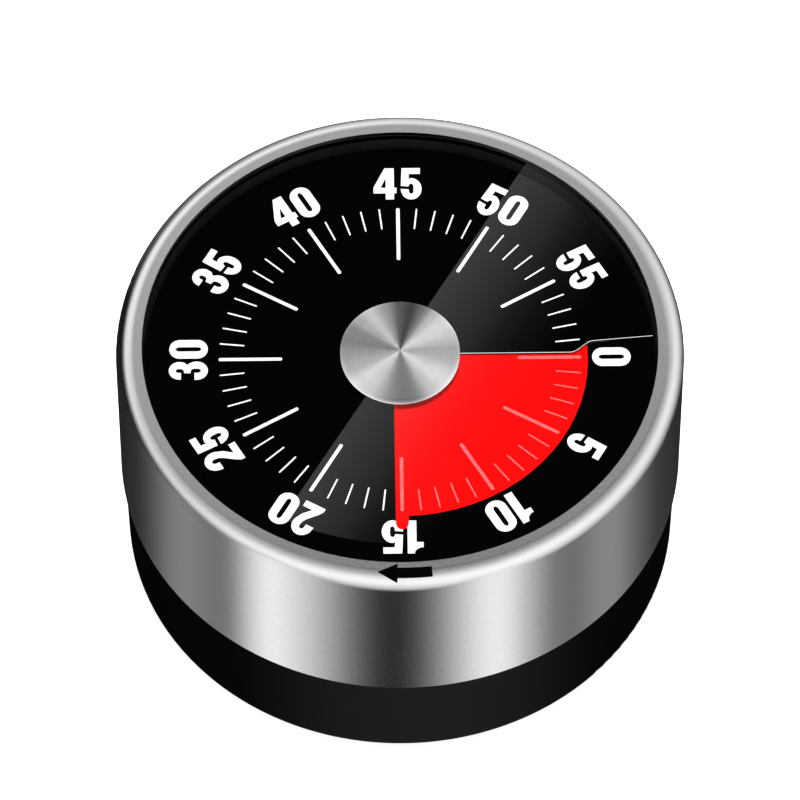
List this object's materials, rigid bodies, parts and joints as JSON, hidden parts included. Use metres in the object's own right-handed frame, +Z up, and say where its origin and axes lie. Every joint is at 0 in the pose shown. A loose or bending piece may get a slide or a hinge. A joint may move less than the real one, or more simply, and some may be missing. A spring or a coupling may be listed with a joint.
{
  "type": "visual countdown timer",
  "caption": "Round magnetic visual timer: a steel sleeve turns over a black base and a red disc shows the minutes left.",
  "frame": {"origin": "centre of the rest face, at the back of the timer", "axes": "+Z up through the lens, -Y towards the 15-minute mark, +X towards the zero mark"},
  "size_m": [0.078, 0.078, 0.044],
  "materials": {
    "sleeve_steel": "fine vertical turning marks, satin",
    "spun_steel": "circular spun finish",
    "base_plastic": "fine satin moulding",
    "liner_plastic": "satin moulding",
    "dial_black": "matt printed sheet",
    "red_film": "bright red translucent film",
    "lens_clear": "clear polished",
    "black_rubber": "matt",
    "ferrite": "ground ferrite",
    "movement_brass": "stamped, lightly brushed",
    "plain_steel": "turned and plated",
    "spring_steel": "blued strip",
    "print_white": "screen-printed ink",
    "print_black": "pad-printed ink"
  },
  "bodies": {
    "base": {"base_housing": "base_plastic", "rear_cover": "base_plastic", "rear_cover_screws": "plain_steel", "magnets": "ferrite", "foot_ring": "black_rubber", "dial_crown": "liner_plastic", "dial_plate": "dial_black", "back_plate": "movement_brass", "front_plate": "movement_brass", "pillars": "movement_brass", "pillar_screws": "plain_steel", "plate_screws": "plain_steel", "mainspring": "spring_steel", "spring_post": "plain_steel", "bell": "plain_steel", "bell_post": "movement_brass", "bell_screw": "plain_steel", "hammer_spring": "spring_steel"},
    "sleeve": {"steel_sleeve": "sleeve_steel", "sleeve_liner": "liner_plastic", "lens_gasket": "black_rubber", "lens": "lens_clear", "hub_cap": "spun_steel", "main_arbor": "plain_steel", "arbor_clip": "spring_steel", "clutch_collar": "movement_brass", "clutch_spring": "spring_steel", "strike_cam": "movement_brass"},
    "time_disc": {"time_disc": "red_film", "disc_collar": "red_film"},
    "great_wheel": {"great_wheel": "movement_brass"},
    "second_wheel": {"second_wheel": "movement_brass", "second_arbor": "plain_steel"},
    "third_wheel": {"third_wheel": "movement_brass", "third_arbor": "plain_steel"},
    "escape_wheel": {"escape_wheel": "movement_brass", "escape_arbor": "plain_steel"},
    "pallet": {"pallet_lever": "plain_steel", "pallet_arbor": "plain_steel"},
    "hammer": {"hammer": "movement_brass", "hammer_arbor": "plain_steel", "strike_lever": "movement_brass"}
  },
  "joints": [
    {"name": "sleeve_turn", "type": "hinge", "parent": "base", "child": "sleeve", "pos_m": [0, 0, 0], "axis": [0, 0, 1], "range_deg": [-270, 90]},
    {"name": "disc_lift", "type": "slide", "parent": "sleeve", "child": "time_disc", "axis": [0, 0, 1], "range_m": [-0.00013, 0.00038]},
    {"name": "third_spin", "type": "hinge", "parent": "base", "child": "third_wheel", "pos_m": [-0.01431, 0.00916, 0], "axis": [0, 0, 1], "continuous": true},
    {"name": "great_spin", "type": "hinge", "parent": "base", "child": "great_wheel", "pos_m": [0, 0, 0], "axis": [0, 0, 1], "continuous": true},
    {"name": "second_spin", "type": "hinge", "parent": "base", "child": "second_wheel", "pos_m": [-0.01316, -0.00479, 0], "axis": [0, 0, 1], "continuous": true},
    {"name": "escape_spin", "type": "hinge", "parent": "base", "child": "escape_wheel", "pos_m": [-0.0048, 0.01944, 0], "axis": [0, 0, 1], "continuous": true},
    {"name": "pallet_swing", "type": "hinge", "parent": "base", "child": "pallet", "pos_m": [0.00455, 0.01779, 0], "axis": [0, 0, 1], "range_deg": [-2.5, 2.5]},
    {"name": "hammer_swing", "type": "hinge", "parent": "base", "child": "hammer", "pos_m": [0.02252, -0.013, 0], "axis": [0, 0, 1], "range_deg": [-10, 4], "stiffness_Nm_per_rad": 0.001}
  ],
  "couplings": [
    {"joint": "disc_lift", "follows": "sleeve_turn", "m_per_rad": -0.000079577},
    {"joint": "great_spin", "follows": "third_spin", "ratio": 0.027778},
    {"joint": "second_spin", "follows": "third_spin", "ratio": -0.16667},
    {"joint": "escape_spin", "follows": "third_spin", "ratio": -6}
  ]
}
